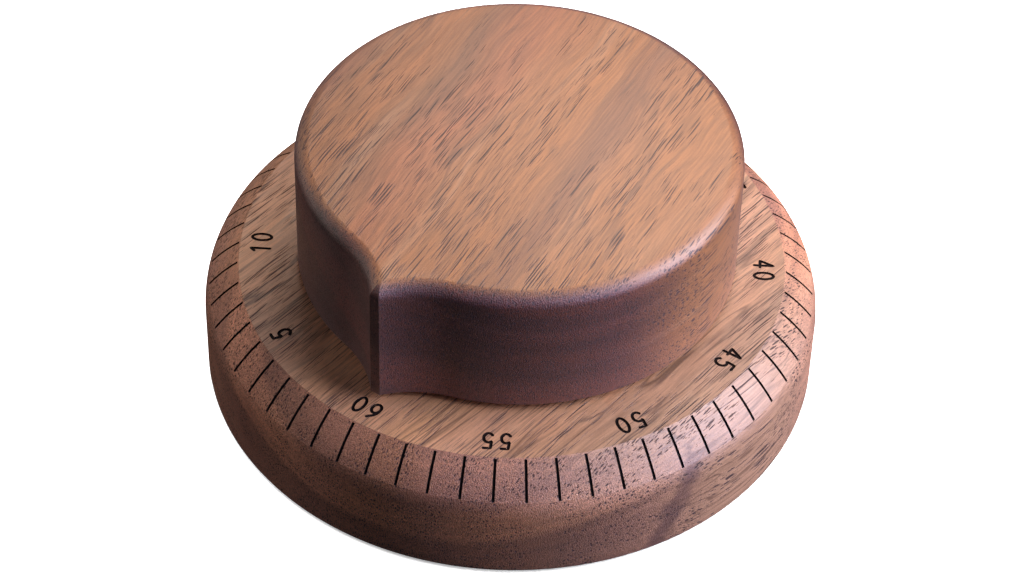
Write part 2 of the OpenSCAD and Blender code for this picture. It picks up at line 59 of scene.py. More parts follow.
BASE_R = base_high.x
BASE_Z = base_low.z
DIAL_Z = base_high.z
BAND_R = BASE_R - 0.65       # the sloping band's outer crease
BAND_W = 4.15
BAND_H = 4.15                # the band's depth below the dial
BAND_TURN = 18               # how much the band's slope changes from crease to crease, in degrees
DIAL_R = BAND_R - BAND_W     # the band's inner crease, where the flat dial ends
SHOULDER_H = 6.6             # the wall turns upright this far below the dial
SHOULDER_TURN = 24
FOOT_ROUND = 0.8

SPINDLE_HOLE_R = 8
COVER_R = cover_high.x + 0.15
COVER_Z = cover_high.z
CAVITY_R = 30.5
ROOF_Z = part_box("mount_spacers")[1].z / MM
PILOT_R = 1.0
COVER_SCREW_RING = 33.3      # radius of the circle on which the cover's screws stand
COVER_SCREW_START = 30       # bearing of the first one, in degrees
COVER_SCREW_DEPTH = 6
MOUNT_SCREW_RING = 26.9
MOUNT_SCREW_START = 28
MOUNT_SCREW_DEPTH = 2.2

KNOB_Z = knob_low.z
KNOB_TOP = knob_high.z
KNOB_R = knob_high.x
BODY_BACK = knob_high.y - KNOB_R   # the round body's middle lies this far behind the spindle
BEAK_REACH = -knob_low.y
BEAK_HALF_W = 0.7
FLANK_R = 16
KNOB_ROUND = 2
KNOB_CREASE = 20             # slope, in degrees, that the round-over has left where it meets the top
KNOB_FOOT = 0.3
FLANGE_R = 9.1               # recess under the knob for the insert's flange
FLANGE_H = 1.5
HUB_R = 4.2
HUB_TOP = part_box("knob_insert")[1].z / MM
INSERT_SCREW_RING = 6.6
INSERT_SCREW_START = 90
INSERT_SCREW_R = 0.9
INSERT_SCREW_DEPTH = 4.9

TICKS = 60
TICK_W = 0.39
TICK_BEVEL = 0.05
TICK_DEPTH = 0.25
TICK_START = DIAL_R + 0.25
TICK_END = BAND_R - 0.05
TICK_RAMP = 0.12             # length of the slope at each end of a tick's groove
NUMERALS = 12
NUMERAL_R = 34.35
NUMERAL_H = 3.05
NUMERAL_W = 1.68
NUMERAL_STEP = 2.3
STROKE_W = 0.43
STROKE_DEPTH = 0.18
STROKE_BEVEL = 0.05

# Mesh density
WELD = 0.004                 # points closer than this become one
SHARP_ANGLE = 18             # edges that turn more than this, in degrees, are creases
CAVITY_SIDES = 144
BORE_SIDES = 72
PILOT_SIDES = 24

WOOD, BURNT = 0, 1           # material slots of the base


def polar(radius, degrees):
    angle = math.radians(degrees)
    return Vector((radius * math.cos(angle), radius * math.sin(angle)))


def minute_angle(minute):
    """The minutes count up clockwise from the sixty mark, which faces -Y."""
    return -90 - 360 / TICKS * minute


# ---------- mesh helpers ----------

def new_piece(name, mesh_builder, body, replaced, materials):
    mesh = bmesh.new()
    mesh_builder(mesh)
    bmesh.ops.remove_doubles(mesh, verts=mesh.verts, dist=WELD)
    bmesh.ops.recalc_face_normals(mesh, faces=mesh.faces)
    bmesh.ops.scale(mesh, vec=(MM, MM, MM), verts=mesh.verts)
    data = bpy.data.meshes.new(name)
    mesh.to_mesh(data)
    mesh.free()
    data.polygons.foreach_set("use_smooth", [True] * len(data.polygons))
    data.set_sharp_from_angle(angle=math.radians(SHARP_ANGLE))
    for material in materials:
        data.materials.append(material)
    piece = bpy.data.objects.new(name, data)
    bpy.context.scene.collection.objects.link(piece)
    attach(piece, body)
    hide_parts(replaced)
    return piece


def add_ring(mesh, points):
    return [mesh.verts.new(p) for p in points]


def level_ring(mesh, outline, z):
    return add_ring(mesh, [(p.x, p.y, z) for p in outline])


def join_rings(mesh, lower, upper, material_of=None):
    """Quads between two closed rings of the same length."""
    count = len(lower)
    for i in range(count):
        j = (i + 1) % count
        face = mesh.faces.new((lower[i], lower[j], upper[j], upper[i]))
        if material_of:
            face.material_index = material_of(i)


def upright_wall(mesh, outline, low, high):
    """An upright wall along a closed outline. It returns the wall's upper ring."""
    lower = level_ring(mesh, outline, low)
    upper = level_ring(mesh, outline, high)
    join_rings(mesh, lower, upper)
    return upper


def circle(radius, count):
    return [polar(radius, 360 * i / count) for i in range(count)]


def inside(point, loop):
    """Whether a point lies inside a closed loop, by counting crossings."""
    hit = False
    for a, b in zip(loop, loop[1:] + loop[:1]):
        if (a.y > point.y) != (b.y > point.y):
            if point.x < a.x + (point.y - a.y) / (b.y - a.y) * (b.x - a.x):
                hit = not hit
    return hit


def flat_face(mesh, outer, holes, z, extra=(), depth_of=None, material_of=None):
    """A flat face with holes. extra adds inner points, and depth_of sinks a point below z."""
    loops = [outer] + list(holes)
    points, edges = [], []
    for loop in loops:
        first = len(points)
        points += loop
        edges += [(first + i, first + (i + 1) % len(loop)) for i in range(len(loop))]
    points += list(extra)
    found, _, faces, _, _, _ = delaunay_2d_cdt(points, edges, [], 0, 1e-5)
    verts = [mesh.verts.new((p.x, p.y, z - (depth_of(p) if depth_of else 0))) for p in found]
    for face in faces:
        middle = sum((found[i] for i in face), Vector((0, 0))) / len(face)
        if not inside(middle, outer) or any(inside(middle, hole) for hole in holes):
            continue
        made = mesh.faces.new([verts[i] for i in face])
        if material_of:
            made.material_index = material_of(middle)
    for vert in verts:
        if not vert.link_faces:
            mesh.verts.remove(vert)


def pilot_holes(mesh, ring_radius, start, radius, z, depth):
    """Walls and floors of three blind holes that go up from z. It returns their rims."""
    rims = []
    for k in range(3):
        centre = polar(ring_radius, start + 120 * k)
        rim = [centre + p for p in circle(radius, PILOT_SIDES)]
        mesh.faces.new(upright_wall(mesh, rim, z, z + depth))
        rims.append(rim)
    return rims


# ---------- numerals, as single-line strokes in a box one unit wide and one high ----------

def bow(cx, cy, rx, ry, start, end, steps=14):
    return [Vector((cx + rx * math.cos(math.radians(start + (end - start) * i / steps)),
                    cy + ry * math.sin(math.radians(start + (end - start) * i / steps))))
            for i in range(steps + 1)]


def line(*points):
    return [Vector(p) for p in points]


DIGITS = {
    "0": [bow(0, 0, 0.5, 0.5, 0, 360, 28)],
    "1": [line((-0.32, 0.3), (0.08, 0.5), (0.08, -0.5))],
    "2": [bow(0, 0.24, 0.46, 0.26, 165, -30) + line((-0.48, -0.5), (0.5, -0.5))],
    "3": [bow(-0.02, 0.26, 0.42, 0.24, 150, -90), bow(-0.04, -0.24, 0.5, 0.26, 90, -150)],
    "4": [line((0.22, -0.5), (0.22, 0.5), (-0.5, -0.2), (0.5, -0.2))],
    "5": [line((0.42, 0.5), (-0.3, 0.5), (-0.38, 0.07)) + bow(-0.04, -0.19, 0.5, 0.31, 132, -145)],
    "6": [bow(0.02, -0.2, 0.48, 0.3, 0, 360, 24),
          line((0.3, 0.5)) + bow(0.5, -0.16, 0.96, 0.6, 112, 176, 8)],
}


def numeral_strokes():
    """Every stroke of the dial's numerals, in dial coordinates."""
    strokes = []
    for number in range(1, NUMERALS + 1):
        minute = TICKS // NUMERALS * number
        out = polar(1, minute_angle(minute))
        along = Vector((out.y, -out.x))
        text = str(minute)
        for place, digit in enumerate(text):
            shift = (place - (len(text) - 1) / 2) * NUMERAL_STEP
            centre = out * NUMERAL_R + along * shift
            for stroke in DIGITS[digit]:
                strokes.append([centre + along * p.x * (NUMERAL_W - STROKE_W)
                                + out * p.y * (NUMERAL_H - STROKE_W) for p in stroke])
    return strokes


def spaced(stroke, step):
    """The stroke's points again, no further apart than step."""
    points = [stroke[0]]
    for a, b in zip(stroke, stroke[1:]):
        parts = max(1, math.ceil((b - a).length / step))
        points += [a.lerp(b, (k + 1) / parts) for k in range(parts)]
    return points


class StrokeField:
    """Distance from a point of the dial to the nearest stroke's centreline, up to one cell away."""

    def __init__(self, strokes, cell=1.0):
        self.cell = cell
        self.segments = {}
        for stroke in strokes:
            for a, b in zip(stroke, stroke[1:]):
                for key in {self.key(a), self.key(b)}:
                    self.segments.setdefault(key, []).append((a, b))

    def key(self, p):
        return math.floor(p.x / self.cell), math.floor(p.y / self.cell)

    def distance(self, p):
        kx, ky = self.key(p)
        nearest = self.cell
        for x in (kx - 1, kx, kx + 1):
            for y in (ky - 1, ky, ky + 1):
                for a, b in self.segments.get((x, y), ()):
                    d = b - a
                    t = min(1, max(0, (p - a).dot(d) / max(d.length_squared, 1e-12)))
                    nearest = min(nearest, (a + d * t - p).length)
        return nearest


def stroke_points(strokes, field):
    """Points on the strokes' centrelines, along both walls of each groove, and round their ends."""
    offsets = (STROKE_W / 2, STROKE_W / 2 - STROKE_BEVEL)
    spacing = 0.14
    slack = 0.012
    points = []

    def keep(p, offset):
        """Leaves out a point that another stroke's groove already covers."""
        if field.distance(p) > offset - slack:
            points.append(p)

    for stroke in strokes:
        path = spaced(stroke, spacing)
        closed = (path[0] - path[-1]).length < 1e-4
        for k, p in enumerate(path[:-1] if closed else path):
            before = path[k - 1] if k else (path[-2] if closed else p)
            after = path[k + 1] if k + 1 < len(path) else p
            side = (after - before).orthogonal().normalized()
            points.append(p)
            for offset in offsets:
                keep(p + side * offset, offset)
                keep(p - side * offset, offset)
        if not closed:
            for end, inner in ((path[0], path[1]), (path[-1], path[-2])):
                heading = math.degrees(math.atan2(end.y - inner.y, end.x - inner.x))
                for offset in offsets:
                    for turn in (-50, 0, 50):
                        keep(end + polar(offset, heading + turn), offset)
    return points


# ---------- base ----------

def bulge(start, end, turn, count):
    """Points along an arc from start to end whose heading falls by `turn` degrees, without the first."""
    way = end - start
    first = math.atan2(way.y, way.x) + math.radians(turn) / 2
    radius = way.length / (2 * math.sin(math.radians(turn) / 2))
    headings = [first - math.radians(turn) * k / count for k in range(1, count + 1)]
    return [start + radius * Vector((math.sin(first) - math.sin(h), math.cos(h) - math.cos(first)))
            for h in headings]


def with_hard_ends(points, reach=0.05):
    """The same line with one more point close to each end, which keeps the creases there crisp."""
    near = points[0].lerp(points[1], reach / (points[1] - points[0]).length)
    far = points[-1].lerp(points[-2], reach / (points[-1] - points[-2]).length)
    return [points[0], near] + points[1:-1] + [far, points[-1]]


def base_profile():
    """The line from the dial's edge down to the upright wall, as (radius, height)."""
    dial_edge = Vector((DIAL_R, DIAL_Z))
    band_foot = Vector((BAND_R, DIAL_Z - BAND_H))
    wall_head = Vector((BASE_R, DIAL_Z - SHOULDER_H))
    band = with_hard_ends([dial_edge] + bulge(dial_edge, band_foot, BAND_TURN, 28))
    shoulder = with_hard_ends([band_foot] + bulge(band_foot, wall_head, SHOULDER_TURN, 8))
    return band + shoulder[1:]


def foot_profile():
    """The upright wall, the rounded foot and the step that takes the bottom cover, as (radius, height)."""
    wall_steps, foot_steps = 8, 5
    wall_high = DIAL_Z - SHOULDER_H
    wall_low = BASE_Z + FOOT_ROUND
    spots = [(BASE_R, wall_high + (wall_low - wall_high) * k / wall_steps) for k in range(1, wall_steps + 1)]
    for k in range(1, foot_steps + 1):
        turn = math.pi / 2 * k / foot_steps
        spots.append((BASE_R - FOOT_ROUND * (1 - math.cos(turn)), wall_low - FOOT_ROUND * math.sin(turn)))
    return spots + [(COVER_R, BASE_Z), (COVER_R, COVER_Z)]


# A ring of the base has five points across each tick, then five along the gap to the next one
TICK_OFFSETS = (-TICK_W / 2, -TICK_W / 2 + TICK_BEVEL, 0, TICK_W / 2 - TICK_BEVEL, TICK_W / 2)
GAP_SHARES = (0.17, 0.34, 0.5, 0.66, 0.83)
TICK_POINTS = len(TICK_OFFSETS)
RING_PITCH = TICK_POINTS + len(GAP_SHARES)


def base_ring(radius):
    points = []
    pitch = TAU / TICKS
    turns = [math.asin(offset / radius) for offset in TICK_OFFSETS]
    edge = turns[-1]
    turns += [edge + (pitch - 2 * edge) * share for share in GAP_SHARES]
    for tick in range(TICKS):
        middle = math.radians(minute_angle(0)) + pitch * tick
        points += [Vector((radius * math.cos(middle + t), radius * math.sin(middle + t)))
                   for t in turns]
    return points


def tick_sink(radius):
    """Share of the full groove depth at this radius."""
    rise = (radius - TICK_START) / TICK_RAMP
    fall = (TICK_END - radius) / TICK_RAMP
    return max(0, min(1, rise, fall))


def add_band_and_shoulder(mesh):
    """The band with its sixty grooves, and the shoulder. It returns the lowest ring."""
    profile = base_profile()
    rings = []
    for index, spot in enumerate(profile):
        after = profile[min(index + 1, len(profile) - 1)]
        before = profile[max(index - 1, 0)]
        way = (after - before).normalized()
        sunk = spot + Vector((way.y, -way.x)) * tick_sink(spot.x) * TICK_DEPTH
        points = []
        for i, p in enumerate(base_ring(spot.x)):
            in_groove = 0 < i % RING_PITCH < TICK_POINTS - 1
            at = sunk if in_groove else spot
            points.append((p.x * at.x / spot.x, p.y * at.x / spot.x, at.y))
        rings.append((spot.x, add_ring(mesh, points)))
    for (r0, upper), (r1, lower) in zip(rings, rings[1:]):
        cut = tick_sink((r0 + r1) / 2) > 0
        join_rings(mesh, upper, lower, lambda i: BURNT if cut and i % RING_PITCH < TICK_POINTS - 1 else WOOD)
    return rings[-1][1]


def add_outer_wall(mesh, head):
    previous = head
    for radius, z in foot_profile():
        ring = level_ring(mesh, base_ring(radius), z)
        join_rings(mesh, previous, ring)
        previous = ring


def add_cavity(mesh):
    """The base's underside: the cover's seat, the cavity for the movement, and the spindle's hole."""
    cavity = circle(CAVITY_R, CAVITY_SIDES)
    hole = circle(SPINDLE_HOLE_R, BORE_SIDES)
    cover_rims = pilot_holes(mesh, COVER_SCREW_RING, COVER_SCREW_START, PILOT_R, COVER_Z, COVER_SCREW_DEPTH)
    flat_face(mesh, base_ring(COVER_R), [cavity] + cover_rims, COVER_Z)
    upright_wall(mesh, cavity, COVER_Z, ROOF_Z)
    mount_rims = pilot_holes(mesh, MOUNT_SCREW_RING, MOUNT_SCREW_START, PILOT_R, ROOF_Z, MOUNT_SCREW_DEPTH)
    flat_face(mesh, cavity, [hole] + mount_rims, ROOF_Z)
    upright_wall(mesh, hole, ROOF_Z, DIAL_Z)


def add_dial(mesh):
    """The flat dial, with the numerals' strokes sunk into it."""
    strokes = numeral_strokes()
    field = StrokeField(strokes)
    rim = STROKE_W / 2 - 0.008      # a little inside the edge, so that the edge's own points stay level
    burnt_rim = STROKE_W / 2 - 0.01
    floor = STROKE_W / 2 - STROKE_BEVEL

    def sink(p):
        return STROKE_DEPTH * min(1, max(0, (rim - field.distance(p)) / (rim - floor)))

    def burn(p):
        return BURNT if field.distance(p) < burnt_rim else WOOD

    hole = circle(SPINDLE_HOLE_R, BORE_SIDES)
    flat_face(mesh, base_ring(DIAL_R), [hole], DIAL_Z, stroke_points(strokes, field), sink, burn)


def build_base(mesh):
    shoulder_foot = add_band_and_shoulder(mesh)
    add_outer_wall(mesh, shoulder_foot)
    add_cavity(mesh)
    add_dial(mesh)


# ---------- knob ----------

def knob_outline(inset, flank_steps=16, round_steps=110):
    """The round body, two hollow flanks and the pointer's blunt tip, kept parallel at every inset."""
    ring = KNOB_R + FLANK_R
    length = BEAK_REACH + BODY_BACK
    corner = math.hypot(BEAK_HALF_W, length)
    flank_angle = math.atan2(BEAK_HALF_W, length) + math.acos(
        (ring ** 2 + corner ** 2 - FLANK_R ** 2) / (2 * ring * corner))
    first = math.degrees(flank_angle) - 90
    centre = polar(ring, first)
    reach = FLANK_R + inset
    least_tip_w = 0.1
    tip_w = max(least_tip_w, centre.x - math.sqrt(reach ** 2 - (inset - length - centre.y) ** 2))
    tip_y = centre.y + math.sqrt(reach ** 2 - (tip_w - centre.x) ** 2)
    start = math.degrees(math.atan2(tip_y - centre.y, tip_w - centre.x))
    end = 90 + math.degrees(flank_angle)
    half = [centre + polar(reach, start + (end - start) * i / flank_steps)
            for i in range(flank_steps + 1)]
    half += [polar(KNOB_R - inset, first + (90 - first) * i / round_steps)
             for i in range(1, round_steps + 1)]
    whole = half + [Vector((-p.x, p.y)) for p in half[-2::-1]]
    return [p + Vector((0, BODY_BACK)) for p in whole]


def knob_profile():
    """The knob's side from its foot to the top's crease, as (inset, height)."""
    foot_steps, side_steps, round_steps = 3, 6, 10
    spots = []
    for k in range(foot_steps + 1):
        turn = math.pi / 2 * k / foot_steps
        spots.append((KNOB_FOOT * (1 - math.sin(turn)), KNOB_Z + KNOB_FOOT * (1 - math.cos(turn))))
    spots += [(0, KNOB_Z + (KNOB_TOP - KNOB_Z) * k / side_steps) for k in range(1, side_steps)]
    whole_turn = math.radians(90 - KNOB_CREASE)
    for k in range(round_steps + 1):
        turn = whole_turn * k / round_steps
        spots.append((KNOB_ROUND * (1 - math.cos(turn)) / (1 - math.cos(whole_turn)),
                      KNOB_TOP - KNOB_ROUND * (1 - math.sin(turn) / math.sin(whole_turn))))
    return spots


def build_knob(mesh):
    previous = None
    for inset, z in knob_profile():
        ring = level_ring(mesh, knob_outline(inset), z)
        if previous:
            join_rings(mesh, previous, ring)
        previous = ring
    flat_face(mesh, knob_outline(KNOB_ROUND), [], KNOB_TOP)

    flange = circle(FLANGE_R, BORE_SIDES)
    hub = circle(HUB_R, BORE_SIDES)
    flange_z = KNOB_Z + FLANGE_H
    flat_face(mesh, knob_outline(KNOB_FOOT), [flange], KNOB_Z)
    upright_wall(mesh, flange, KNOB_Z, flange_z)
    rims = pilot_holes(mesh, INSERT_SCREW_RING, INSERT_SCREW_START, INSERT_SCREW_R, flange_z,
                       INSERT_SCREW_DEPTH)
    flat_face(mesh, flange, [hub] + rims, flange_z)
    mesh.faces.new(upright_wall(mesh, hub, flange_z, HUB_TOP))


# ---------- materials ----------

class Nodes:
    """Adds nodes to one material and joins their sockets."""

    def __init__(self, name):
        self.material = bpy.data.materials.new(name)
        self.material.use_nodes = True
        self.tree = self.material.node_tree
        self.shader = self.tree.nodes["Principled BSDF"]

    def put(self, socket, value):
        """Links a node's output to a socket, or sets a plain value. Colours come without their alpha."""
        if isinstance(value, bpy.types.NodeSocket):
            self.tree.links.new(value, socket)
        elif value is None:
            return
        elif socket.type == "RGBA":
            socket.default_value = (*value, 1)
        else:
            socket.default_value = value

    def surface(self, **inputs):
        """Sets the shader's own sockets."""
        for key, value in inputs.items():
            self.put(self.shader.inputs[key.replace("_", " ")], value)

    def add(self, kind, output=0, settings=(), **inputs):
        """A new node's output. Inputs go by their name, or by their number after an i."""
        node = self.tree.nodes.new("ShaderNode" + kind)
        for key, value in dict(settings).items():
            setattr(node, key, value)
        for key, value in inputs.items():
            by_number = key[0] == "i" and key[1:].isdigit()
            socket = node.inputs[int(key[1:])] if by_number else node.inputs[key.replace("_", " ")]
            self.put(socket, value)
        return node.outputs[output]

    def coordinate(self, kind):
        return self.tree.nodes.new("ShaderNodeTexCoord").outputs[kind]

    def millimetres(self, tilt=0, turn=0):
        """The object's own coordinates in millimetres, tilted about X and turned about Z by degrees."""
        return self.add("Mapping", Vector=self.coordinate("Object"), Scale=(1 / MM, 1 / MM, 1 / MM),
                        Rotation=(math.radians(tilt), 0, math.radians(turn)))

    def split(self, vector):
        node = self.tree.nodes.new("ShaderNodeSeparateXYZ")
        self.put(node.inputs[0], vector)
        return tuple(node.outputs)

    def math(self, operation, a, b=None, c=None):
        return self.add("Math", settings={"operation": operation}, i0=a, i1=b, i2=c)

    def plus(self, a, b):
        return self.math("ADD", a, b)

    def times(self, a, b):
        return self.math("MULTIPLY", a, b)

    def scaled(self, value, factor, plus=0.0):
        return self.math("MULTIPLY_ADD", value, factor, plus)

    def dot(self, vector, direction):
        return self.add("VectorMath", output=1, settings={"operation": "DOT_PRODUCT"},
                        i0=vector, i1=direction)

    def step(self, value, low, high, out_low=0.0, out_high=1.0):
        """A smooth step from out_low to out_high as value goes from low to high."""
        return self.add("MapRange", settings={"interpolation_type": "SMOOTHSTEP"}, Value=value,
                        i1=low, i2=high, i3=out_low, i4=out_high)

    def xyz(self, x, y, z):
        return self.add("CombineXYZ", X=x, Y=y, Z=z)

    def noise(self, vector, scale=1.0, detail=2.0, roughness=0.5):
        return self.add("TexNoise", Vector=vector, Scale=scale, Detail=detail, Roughness=roughness)

    def stretched(self, axes, sizes, detail=2.0, roughness=0.5):
        """Noise whose features measure about sizes, in millimetres. An axis with no size is a number."""
        terms = [self.scaled(axis, 1 / size) if size else axis for axis, size in zip(axes, sizes)]
        return self.noise(self.xyz(*terms), detail=detail, roughness=roughness)

    def grey(self, value):
        return self.add("CombineColor", Red=value, Green=value, Blue=value)

    def mix(self, factor, a, b, blend="MIX"):
        node = self.tree.nodes.new("ShaderNodeMix")
        node.data_type = "RGBA"
        node.blend_type = blend
        self.put(node.inputs[0], factor)
        self.put(node.inputs[6], a)
        self.put(node.inputs[7], b)
        return node.outputs[2]

    def tinted(self, colour, tint, factor=1.0):
        """The colour multiplied by a tint, as far as factor says."""
        return self.mix(factor, colour, self.mix(1.0, colour, tint, "MULTIPLY"))

    def ramp(self, factor, stops):
        node = self.tree.nodes.new("ShaderNodeValToRGB")
        self.put(node.inputs[0], factor)
        elements = node.color_ramp.elements
        while len(elements) < len(stops):
            elements.new(0.5)
        for element, (position, colour) in zip(elements, stops):
            element.position = position
            element.color = (*colour, 1)
        return node.outputs[0]

    def bump(self, height, strength, distance):
        return self.add("Bump", Height=height, Strength=strength, Distance=distance * MM)

    def worn_edges(self, place, size):
        """1 along the outer edges, broken up by patches of this size in millimetres."""
        geometry = self.tree.nodes.new("ShaderNodeNewGeometry")
        patches = self.noise(place, scale=1 / size, detail=3)
        edge = self.step(geometry.outputs["Pointiness"], 0.515, 0.60)
        return self.times(edge, self.step(patches, 0.36, 0.60, 0.25, 1.0))


# Walnut's own colours
DARK_RING = (0.17, 0.09, 0.065)
LIGHT_RING = (0.66, 0.41, 0.27)
DARK_VEIN = (0.11, 0.052, 0.036)
# colour of the dark streak painted on the base's outer wall
WALL_STREAK = (0.135, 0.070, 0.078)
PORE = (0.036, 0.012, 0.006)
RUBBED = (0.66, 0.44, 0.33)
FIBRE_SHINE = (0.88, 0.74, 0.95)


def knot_streak(n, place, bearing, middle, lean):
    """A dark streak in the outer wall. It leans sideways as it rises, and stays below the band.

    bearing is in degrees in the grain's own axes, and lean in millimetres for each one of height.
    """
    out = polar(1, bearing)
    outward = n.dot(place, (out.x, out.y, 0))
    aside = n.dot(place, (-out.y, out.x, -lean))
    height = n.dot(place, (0, 0, 1))
    wobble = n.noise(place, scale=0.20, detail=3)
    off = n.math("ABSOLUTE", n.plus(aside, n.scaled(wobble, 7, lean * middle - 3.5)))
    shade = n.times(n.step(off, 0.2, 2.6, 1.0, 0.0), n.step(outward, 33, 38))
    return n.times(shade, n.step(height, DIAL_Z - BAND_H + 1, DIAL_Z - BAND_H - 1.5))


def pore_cuts(n, axes, density, spacing, radius, seed):
    """1 where a long-grain face cuts a row of tubes that drift along the grain, so it shows streaks.

    spacing is in millimetres, and radius is a share of it.
    """
    across, along, height = axes
    drift = n.stretched((across, along, seed), (5, 14, None))
    rise = n.stretched((across, along, seed + 7.7), (3, 13, None))
    x = n.plus(across, n.scaled(drift, 1.1))
    z = n.plus(height, n.plus(n.scaled(rise, 0.42), n.scaled(along, 0.016)))
    cell = n.tree.nodes.new("ShaderNodeTexVoronoi")
    cell.voronoi_dimensions = "2D"
    cell.inputs["Scale"].default_value = 1.0
    n.put(cell.inputs["Vector"], n.xyz(n.scaled(x, 1.3 / spacing, seed), n.scaled(z, 0.75 / spacing), 0))
    luck = n.add("SeparateColor", i0=cell.outputs["Color"])
    limit = n.times(n.scaled(luck, radius, 0.25 * radius), n.scaled(density, 0.95, 0.05))
    return n.step(n.math("SUBTRACT", cell.outputs["Distance"], limit), -0.05, 0.0, 1.0, 0.0)


def walnut(name, grain_turn, pith, figure, end_tone, veins, pore_lean, sheen, oil, streak_at=None):
    """Solid walnut. The grain runs along Y, turned by grain_turn degrees, round a pith at (across, height).

    figure is a ramp of colours across the board, and end_tone the tint of the end grain.
    veins is the strength of the thin dark lines along the grain, and pore_lean the change in the pores'
    density for each millimetre along it. sheen is the strength of the fibres' pale shine at
    low angles, and oil that of the oiled surface's own reflection. The last argument places a dark
    streak painted on the outer wall, if any.
    """
    n = Nodes(name)
    place = n.millimetres(tilt=2, turn=-grain_turn)
    across, along, height = n.split(place)

    # Slow wander of the grain lines, and the distance from the pith
    wander = n.stretched((across, along, height), (26, 55, 26), detail=3)
    u = n.plus(across, n.scaled(wander, 9, -4.5))
    du = n.math("SUBTRACT", u, pith[0])
    dw = n.math("SUBTRACT", height, pith[1])
    ring = n.math("SQRT", n.plus(n.times(du, du), n.times(dw, dw)))

    # Colour bands across the board, and the growth rings
    patch = n.stretched((u, along, height), (5, 34, 5), detail=4)
    shifted = n.plus(u, n.scaled(patch, 10, -5))
    colour = n.ramp(n.scaled(shifted, 1 / (2 * BASE_R), 0.5), figure)
    rings = n.stretched((ring, along, 0), (2.6, 90, None), detail=3, roughness=0.6)
    colour = n.mix(n.scaled(n.step(rings, 0.5, 0.68), 0.24), colour, DARK_RING)
    colour = n.mix(n.scaled(n.step(rings, 0.46, 0.32), 0.18), colour, LIGHT_RING)

    # End grain: 1 where the surface faces along the grain
    grain = polar(1, 90 + grain_turn)
    facing = n.math("ABSOLUTE", n.dot(n.coordinate("Normal"), (grain.x, grain.y, 0.03)))
    end = n.step(facing, 0.12, 0.62)

    # Long thin veins, where a stretched field crosses its middle value
    field = n.stretched((u, along, height), (1 / 0.62, 38, 1 / 0.62), detail=1)
    crossing = n.math("ABSOLUTE", n.scaled(field, 1.0, -0.5))
    vein = n.times(n.step(crossing, 0.0, 0.045, 1.0, 0.0), n.step(patch, 0.34, 0.58))
    long_grain = n.scaled(end, -1.0, 1.0)
    colour = n.mix(n.scaled(n.times(vein, long_grain), veins), colour, DARK_VEIN)

    # A dark purple-brown streak painted on the outer wall, below the band
    if streak_at:
        colour = n.mix(n.scaled(knot_streak(n, place, *streak_at), 0.68), colour, WALL_STREAK)

    # Fine fibres, stretched along the grain
    fibre = n.stretched((u, along, height), (1 / 3.4, 10, 1 / 3.4), detail=5, roughness=0.62)
    colour = n.mix(1.0, colour, n.grey(n.step(fibre, 0.3, 0.7, 0.76, 1.18)), "MULTIPLY")

    # End grain drinks more oil, so it is darker, and it shows the rings as broad arcs
    colour = n.tinted(colour, end_tone, end)
    broad_rings = n.stretched((ring, along, 3.3), (5.5, 60, None))
    arc_tone = n.step(broad_rings, 0.38, 0.64, 1.22, 0.58)
    arcs = n.add("CombineColor", Red=arc_tone, Green=arc_tone, Blue=n.scaled(arc_tone, 0.9, 0.1))
    colour = n.tinted(colour, arcs, n.scaled(end, 0.9))

    # Specks of the cut fibres, strongest on the end grain
    speck = n.noise(place, scale=5.5, detail=2, roughness=0.7)
    cut_speck = n.times(n.step(speck, 0.35, 0.65, -0.22, 0.22), n.scaled(end, 0.8, 0.2))
    colour = n.mix(1.0, colour, n.grey(n.scaled(cut_speck, 1.0, 1.0)), "MULTIPLY")

    # Pores, crowded in clusters and in the dark rings
    cluster = n.stretched((u, along, height), (4, 20, 4), detail=3)
    crowd = n.plus(cluster, n.plus(n.scaled(rings, 0.30), n.scaled(along, pore_lean)))
    density = n.step(crowd, 0.47, 0.69)
    wide = pore_cuts(n, (across, along, height), density, 0.46, 0.24, 3.1)
    thin = pore_cuts(n, (across, along, height), density, 0.27, 0.23, 17.7)
    pore = n.math("MAXIMUM", wide, n.scaled(thin, 0.85))

    wear = n.worn_edges(place, 3.0)
    rubbed = n.mix(n.scaled(wear, 0.13), colour, RUBBED)
    relief = n.math("SUBTRACT", n.plus(n.scaled(fibre, 0.25), n.scaled(cut_speck, 2.2)), pore)
    n.surface(Base_Color=n.mix(pore, rubbed, n.mix(0.92, colour, PORE)),
              Roughness=n.plus(n.step(fibre, 0.3, 0.7, 0.40, 0.50),
                               n.plus(n.scaled(pore, 0.25), n.scaled(wear, -0.08))),
              Normal=n.bump(relief, 0.45, 0.12),
              Coat_Weight=oil, Coat_Roughness=0.42,
              Sheen_Weight=sheen, Sheen_Roughness=0.45, Sheen_Tint=FIBRE_SHINE)
    return n.material


def burnt_wood():
    """Char in the scale's grooves, with a browner, rougher tone where the burn is light."""
    n = Nodes("burnt_line")
    speck = n.noise(n.coordinate("Object"), scale=2600, detail=3)
    char, light_burn = (0.006, 0.004, 0.004), (0.022, 0.012, 0.010)
    n.surface(Base_Color=n.ramp(speck, [(0.3, char), (0.7, light_burn)]),
              Roughness=n.step(speck, 0.3, 0.7, 0.7, 0.95),
              Specular_IOR_Level=0.12,
              Normal=n.bump(speck, 0.5, 0.05))
    return n.material


